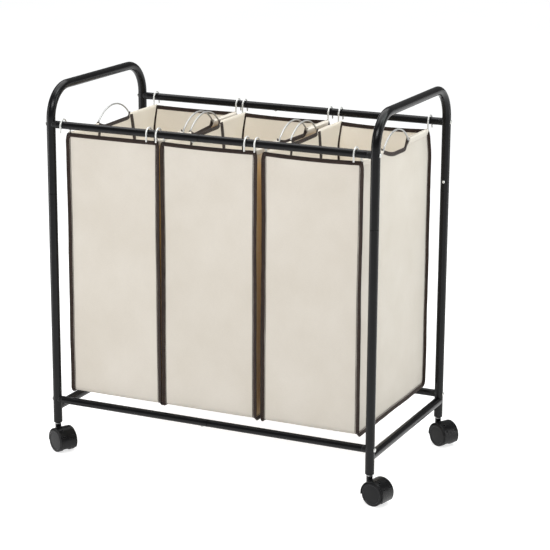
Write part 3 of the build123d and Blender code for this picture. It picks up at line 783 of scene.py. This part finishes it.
def hem_ring(bag, side, f, angle, y):
    """A point of a sleeve's section, from the wire: (across, up)."""
    up, out = math.cos(angle), math.sin(angle)
    outside = out * side > 0
    if up > HEM_SHOULDER:
        across, rise = HEM_R * out, HEM_R * up
    else:
        drop = (HEM_SHOULDER - up) / (1 + HEM_SHOULDER)
        across = HEM_R * out * (1 - (HEM_TAPER if outside else 0.0) * drop)
        rise = HEM_SHOULDER * HEM_R - (HEM_H - HEM_R) * drop
    if out * side < 0:
        across *= HEM_INSIDE
    elif side < 0:
        across *= HEM_OUTSIDE_LEFT
    across -= side * HEM_SHIFT * clamp(-rise / HEM_H, 0.0, 1.0)
    wobble = noise.noise(Vector((y * 60, angle, side)) + bag.seed) * 0.4 * MM
    sag = noise.noise(Vector((y * 22, side, 3.0)) + bag.seed) * 0.7 * MM
    pinch = 1.0 - 0.12 * (abs(2 * f - 1) ** 10)
    return (across + wobble * out) * pinch, (rise + wobble * up) * pinch + sag


def cloth_hems(bag, name, side):
    """Front and rear sleeves that hold the wire along the top of a side panel."""
    parts = []
    x = bag.x + side * bag.wire_x
    middle = bag.hem_top - HEM_R - HEM_DROP
    starts = {-1: -NOTCH_FRONT, 1: NOTCH_REAR}
    body = [(i / HEM_STEPS, 1.0) for i in range(HEM_STEPS + 1)]
    stations = HEM_START_MOUTH + body + HEM_END_MOUTH
    for row in ROWS.values():
        start, end = starts[row], bag.half_y - HEM_ENDS[row]
        points, uvs = [], []
        for f, scale in stations:
            y = row * (start + (end - start) * f)
            for j in range(HEM_RING):
                a = 2 * math.pi * j / HEM_RING
                across, rise = hem_ring(bag, side, f, a, y)
                points.append(Vector((x + across * scale, y, middle + rise * scale)))
                uvs.append((y, HEM_R * a))
        faces = tube_faces(len(stations), HEM_RING)
        if row < 0:
            faces = turned_over(faces)
        parts.append((points, faces, uvs))
    return new_piece(
        f"{bag.name}_hems_{name}", *join_parts(parts), CLOTH_HEM_PAINTED_GLOW, bag.name, "cloth")


# --------------------------------------------------------- tape and stitches


def seam_path(bag, side):
    """The seam between strip and side panel: points and outward directions in its plane."""
    path, normals = [], []
    stations = profile_stations(bag)
    for i, (y, z) in enumerate(stations):
        before = stations[max(0, i - 1)]
        after = stations[min(len(stations) - 1, i + 1)]
        ty, tz = after[0] - before[0], after[1] - before[1]
        length = math.hypot(ty, tz)
        normal = Vector((0, -tz / length, ty / length))
        outward = Vector((0, y, z - (bag.low + bag.top) / 2))
        normals.append(-normal if normal.dot(outward) < 0 else normal)
        path.append(Vector((bag.x + side * bag.half_x, y, z)))
    return path, normals


def edge_directions(side, normal):
    """The directions across and through the tape on a seam."""
    tilt = math.radians(EDGE_TILT + FLOOR_TILT * max(0.0, -normal.z))
    across = Vector((side * math.cos(tilt), 0, 0)) + normal * math.sin(tilt)
    through = normal * math.cos(tilt) - Vector((side * math.sin(tilt), 0, 0))
    return across, through


def tape_section():
    return rounded_section(TAPE_W / 2, TAPE_T / 2, TAPE_R)


def hung_sweep(bag, path, wide, flat, section):
    """A sweep along a path of the flat-sided bag, moved as its cloth hangs."""
    points, faces, uvs = sweep(path, wide, flat, section)
    return [bag.hang(p) for p in points], faces, uvs


def edge_binding(bag, side):
    """Folded tape round the seam allowance, standing out from the bag's edge."""
    reach = TAPE_W / 2 - TAPE_INSIDE
    if (bag.name, side) in CLOSE_SEAMS:
        reach -= CLOSE_TUCK
    wide, flat, centre = [], [], []
    for at, normal in zip(*seam_path(bag, side)):
        across, through = edge_directions(side, normal)
        ripple = noise.noise(at * 40 + bag.seed) * EDGE_RIPPLE
        near_top = max(0.0, 1 - (bag.top - at.z) / TOP_TUCK_DROP)
        wide.append(across)
        flat.append(through)
        centre.append(at + across * (reach + ripple - TOP_TUCK * near_top ** 1.5))
    return hung_sweep(bag, centre, wide, flat, tape_section())


def inner_piping(bag, side):
    """The turned edge of the same tape, seen along the seam from inside the bag."""
    wide, flat, centre = [], [], []
    for at, normal in zip(*seam_path(bag, side)):
        inward = (Vector((-side, 0, 0)) - normal).normalized()
        along = (Vector((-side, 0, 0)) + normal).normalized()
        centre.append(at + inward * PIPING_INSET)
        wide.append(along)
        flat.append(inward)
    return hung_sweep(bag, centre, wide, flat, rounded_section(*PIPING_HALF, 0.6 * MM))


def top_binding(bag, row):
    """Tape folded over the top edge of the front or rear wall."""
    steps = 30
    past = 1.0 * MM  # beyond the side panels
    path = []
    for i in range(steps + 1):
        x = bag.x - bag.half_x - past + (2 * bag.half_x + 2 * past) * i / steps
        path.append(Vector((x, row * bag.half_y, bag.top - TAPE_W / 2 + TOP_TAPE_RISE)))
    wide = [Vector((0, 0, 1))] * len(path)
    flat = [Vector((0, row, 0))] * len(path)
    return hung_sweep(bag, path, wide, flat, tape_section())


def notch_edge(bag, name, side):
    """Points along the notch and the directions that lead away from its opening."""
    x = bag.x + side * bag.half_x
    path = [
        Vector((x, y, bag.hem_top - notch_depth(bag, name, y)))
        for y in notch_places(NOTCH_STEPS)
    ]
    last = NOTCH_STEPS
    away = []
    for i in range(last + 1):
        along = path[min(last, i + 1)] - path[max(0, i - 1)]
        away.append(Vector((0, along.z, -along.y)).normalized())
    for _ in range(3):
        away = [
            (away[max(0, i - 1)] + away[i] * 2 + away[min(last, i + 1)]).normalized()
            for i in range(last + 1)
        ]
    return path, away


def notch_binding(bag, name, side):
    """Tape folded over the edge of the hand notch, curling outwards at both ends."""
    path, away = notch_edge(bag, name, side)
    last = len(path) - 1
    out = Vector((side, 0, 0))
    centre, wide, flat = [], [], []
    for i, (p, w) in enumerate(zip(path, away)):
        end = max(0.0, 1 - min(i, last - i) / NOTCH_CURL)
        lean = (w + out * 0.7 * end).normalized()
        lift = Vector((0, 0, 1.6 * MM * end)) + out * 0.8 * MM * end
        centre.append(p + lean * (TAPE_W / 2 - 1.4 * MM) + lift)
        wide.append(lean)
        flat.append((out - lean * lean.dot(out)).normalized())
    return hung_sweep(bag, centre, wide, flat, tape_section())


def inner_straps(bag, side):
    """Flat tapes sewn down the inside of a side panel from both ends of its notch."""
    parts = []
    x = bag.x + side * (bag.half_x - STRAP_INSET)
    for top_y, low_y, half_width in STRAPS:
        path = []
        for i in range(STRAP_STEPS + 1):
            drop = (bag.hem_top - bag.low - STRAP_CLEAR) * i / STRAP_STEPS
            y = top_y + (low_y - top_y) * min(1.0, drop / STRAP_BEND)
            path.append(Vector((x, y, bag.hem_top - STRAP_TOP - drop)))
        wide = [Vector((0, 1, 0))] * len(path)
        flat = [Vector((-side, 0, 0))] * len(path)
        section = rounded_section(half_width, STRAP_HALF_T, 0.4 * MM)
        parts.append(hung_sweep(bag, path, wide, flat, section))
    return join_parts(parts)


def stitch(bag, at, along, out, face):
    """One short stitch, rounded and thinner at its ends."""
    across = along.cross(out).normalized()
    points = []
    for s, k in STITCH_FORM:
        for j in range(STITCH_RING):
            turn = 2 * math.pi * j / STITCH_RING
            offset = across * math.cos(turn) + out * math.sin(turn)
            middle = at + along * (s * STITCH_LENGTH / 2)
            points.append(bag.hang(middle + offset * (STITCH_R * k) + out * face))
    return points, tube_faces(len(STITCH_FORM), STITCH_RING), [(0.0, 0.0)] * len(points)


def stitch_row(bag, path, lift, face):
    """Short thread stitches along a path, lifted off its surface."""
    parts = []
    run, wanted = 0.0, STITCH_PITCH / 2
    for i in range(len(path) - 1):
        a, b = path[i], path[i + 1]
        length = (b - a).length
        along = (b - a).normalized()
        while wanted < run + length:
            f = (wanted - run) / length
            out = lift[i].lerp(lift[i + 1], f).normalized()
            parts.append(stitch(bag, a.lerp(b, f), along, out, face))
            wanted += STITCH_PITCH
        run += length
    return parts


def stitches_on_both_faces(bag, path, direction, face):
    """Rows on the two faces of a tape or cloth that looks one way all along its path."""
    parts = []
    for sign in (-1, 1):
        parts += stitch_row(bag, path, [direction * sign] * len(path), face)
    return parts


def binding_stitches(bag):
    """All stitches on the bag's brown tapes."""
    parts = []
    face = TAPE_T / 2 + 0.05 * MM
    for name, side in SIDES.items():
        centre, lift = [], []
        for at, normal in zip(*seam_path(bag, side)):
            across, through = edge_directions(side, normal)
            centre.append(at + across * 0.9 * MM)
            lift.append(through)
        parts += stitch_row(bag, centre, lift, face)
        parts += stitch_row(bag, centre, [-v for v in lift], face)
        path, away = notch_edge(bag, name, side)
        low = [p + w * (TAPE_W - 3.0 * MM) for p, w in zip(path, away)]
        parts += stitches_on_both_faces(bag, low, Vector((1, 0, 0)), face)
    steps = 30
    z = bag.top - TAPE_W + 2.9 * MM
    for row in ROWS.values():
        line = [
            Vector((bag.x - bag.half_x + 2 * bag.half_x * i / steps, row * bag.half_y, z))
            for i in range(steps + 1)
        ]
        parts += stitches_on_both_faces(bag, line, Vector((0, 1, 0)), face)
    return join_parts(parts)


def hem_stitches(bag):
    """Cream stitches along the lower edge of each hem."""
    parts = []
    steps = 15
    z = bag.hem_top - HEM_H - 0.2 * MM
    for side in SIDES.values():
        x = bag.x + side * bag.half_x
        for row in ROWS.values():
            start = NOTCH_REAR if row > 0 else -NOTCH_FRONT
            length = bag.half_y - start - 12 * MM
            line = [
                Vector((x, row * (start + 4 * MM + length * i / steps), z))
                for i in range(steps + 1)
            ]
            face = CLOTH_T / 2 + 0.3 * MM
            parts += stitches_on_both_faces(bag, line, Vector((1, 0, 0)), face)
    return join_parts(parts)


def make_bag(name, number):
    """All pieces of one bag."""
    bag = Bag(name, number)
    strip, flat = cloth_strip(bag)
    sides = {key: cloth_side(bag, key, side) for key, side in SIDES.items()}
    hems = {key: cloth_hems(bag, key, side) for key, side in SIDES.items()}
    tapes = []
    for key, side in SIDES.items():
        tapes += [edge_binding(bag, side), inner_piping(bag, side)]
        tapes += [notch_binding(bag, key, side), inner_straps(bag, side)]
    tapes += [top_binding(bag, row) for row in ROWS.values()]
    binding = new_piece(f"{name}_sewn_binding", *join_parts(tapes), TAPE, name, "binding")
    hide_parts(f"{name}_binding")
    stitches = new_piece(
        f"{name}_binding_stitches", *binding_stitches(bag), BROWN_THREAD, name, "binding")
    cream = new_piece(f"{name}_hem_stitches", *hem_stitches(bag), CREAM_THREAD, name, "cloth")


# -------------------------------------------------------- carried CAD nodes


def paint(node, material):
    """Give a carried CAD node its detailed material."""
    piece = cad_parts[node]
    piece.data.materials.clear()
    piece.data.materials.append(material)
    for polygon in piece.data.polygons:
        polygon.material_index = 0


def paint_frame():
    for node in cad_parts:
        if node.startswith(("handle_", "post_", "side_rail_", "top_rail_", "bottom_rail_")):
            paint(node, COAT)
    for node in ("rail_end_screws", "post_joint_screws", "rail_joint_screws"):
        paint(node, ZINC)
    for node in ("rail_end_plugs", "caster_sockets"):
        paint(node, PLUG)
    for corner in CORNERS:
        paint(f"caster_hood_{corner}", HOOD)
        paint(f"caster_stem_{corner}", STEEL)
        paint(f"caster_axle_{corner}", STEEL)
        paint(f"wheel_a_{corner}", WHEEL)
        paint(f"wheel_b_{corner}", WHEEL)
    for name in BAGS:
        for key in SIDES:
            paint(f"{name}_hanger_{key}", WIRE)


# ------------------------------------------------------------------ studio


def make_floor():
    reach = 60
    corners = [(-reach, -reach, 0), (reach, -reach, 0), (reach, reach, 0), (-reach, reach, 0)]
    mesh = bpy.data.meshes.new("floor")
    mesh.from_pydata(corners, [], [(0, 1, 2, 3)])
    mesh.materials.append(pale_floor())
    floor = bpy.data.objects.new("floor", mesh)
    bpy.context.scene.collection.objects.link(floor)


def heading(azimuth, elevation):
    """The direction of a place seen from the cart; azimuth 0 is the front, in radians."""
    return Vector((
        math.sin(azimuth) * math.cos(elevation),
        -math.cos(azimuth) * math.cos(elevation),
        math.sin(elevation),
    ))


def point_lamp(name, light, aim):
    """A lamp that holds a light and shines along a direction."""
    lamp = bpy.data.objects.new(name, light)
    bpy.context.scene.collection.objects.link(lamp)
    lamp.rotation_mode = "QUATERNION"
    lamp.rotation_quaternion = aim.to_track_quat("-Z", "Y")
    return lamp


def soft_sun(name, azimuth, elevation, strength, spread, color=(1, 1, 1)):
    """A very wide soft light from a direction, in degrees; azimuth 0 comes from the front."""
    light = bpy.data.lights.new(name, "SUN")
    light.energy = strength
    light.angle = math.radians(spread)
    light.color = color
    point_lamp(name, light, -heading(math.radians(azimuth), math.radians(elevation)))


def soft_box(name, at, aim, size, power, color=(1, 1, 1)):
    """A rectangular soft box that faces a point of the cart."""
    light = bpy.data.lights.new(name, "AREA")
    light.shape = "RECTANGLE"
    light.size, light.size_y = size
    light.energy = power
    light.color = color
    point_lamp(name, light, Vector(aim) - Vector(at)).location = at


def strip_light(name, azimuth, distance, width, power):
    """A narrow light that stands on the floor and draws a bright line along the posts."""
    height = 1.3
    a = math.radians(azimuth)
    at = (math.sin(a) * distance, -math.cos(a) * distance, height / 2 + 0.02)
    soft_box(name, at, (0, 0, at[2]), (width, height), power)


def make_world():
    """Even light from all round; where the camera sees it, it's as white as the floor."""
    world = bpy.data.worlds.new("studio")
    bpy.context.scene.world = world
    world.use_nodes = True
    nodes, links = world.node_tree.nodes, world.node_tree.links
    background = nodes["Background"]
    background.inputs["Color"].default_value = WHITE
    path = nodes.new("ShaderNodeLightPath")
    strength = nodes.new("ShaderNodeMapRange")
    strength.inputs["To Min"].default_value = 0.22
    strength.inputs["To Max"].default_value = 1.0
    links.new(path.outputs["Is Camera Ray"], strength.inputs["Value"])
    links.new(strength.outputs[0], background.inputs["Strength"])


def make_lights():
    cool, pale_cool = (0.92, 1.0, 1.0), (0.93, 1.0, 0.98)
    soft_sun("key_front", azimuth=12, elevation=46, strength=0.16, spread=24)
    soft_sun("key_right", azimuth=84, elevation=66, strength=0.55, spread=22, color=cool)
    soft_box("ceiling", at=(-0.4, 0.6, 2.6), aim=(-0.4, 0.6, 0), size=(3.0, 2.4), power=62)
    soft_box("front_box", at=(0.55, -1.2, 1.7), aim=(0.16, 0, 0.75), size=(1.1, 0.4), power=13)
    soft_box(
        "right_box", at=(0.85, 0.1, 1.25), aim=(0.36, 0, 0.66), size=(0.4, 0.5), power=2.6,
        color=pale_cool,
    )
    strip_light("left_strip", azimuth=-60, distance=1.6, width=0.34, power=7)
    strip_light("right_strip", azimuth=106, distance=1.85, width=0.22, power=3.6)


def make_camera():
    """The camera stands at the front right, a little above the handles' height."""
    azimuth, elevation, roll = math.radians(24.96), math.radians(14.97), math.radians(0.34)
    target = Vector((0.060, 0.0, 0.392))
    distance = 4.17
    data = bpy.data.cameras.new("camera")
    data.lens = 128.3
    data.sensor_width = 36.0
    data.clip_start, data.clip_end = 0.1, 200.0
    camera = bpy.data.objects.new("camera", data)
    bpy.context.scene.collection.objects.link(camera)
    back = heading(azimuth, elevation)
    camera.location = target + back * distance
    camera.rotation_mode = "QUATERNION"
    aim = (-back).to_track_quat("-Z", "Y")
    camera.rotation_quaternion = aim @ Quaternion((0, 0, 1), roll)
    bpy.context.scene.camera = camera


paint_frame()
for index, bag_name in enumerate(BAGS):
    make_bag(bag_name, index)
make_floor()
make_world()
make_lights()
make_camera()
bpy.context.scene.view_settings.view_transform = "Standard"
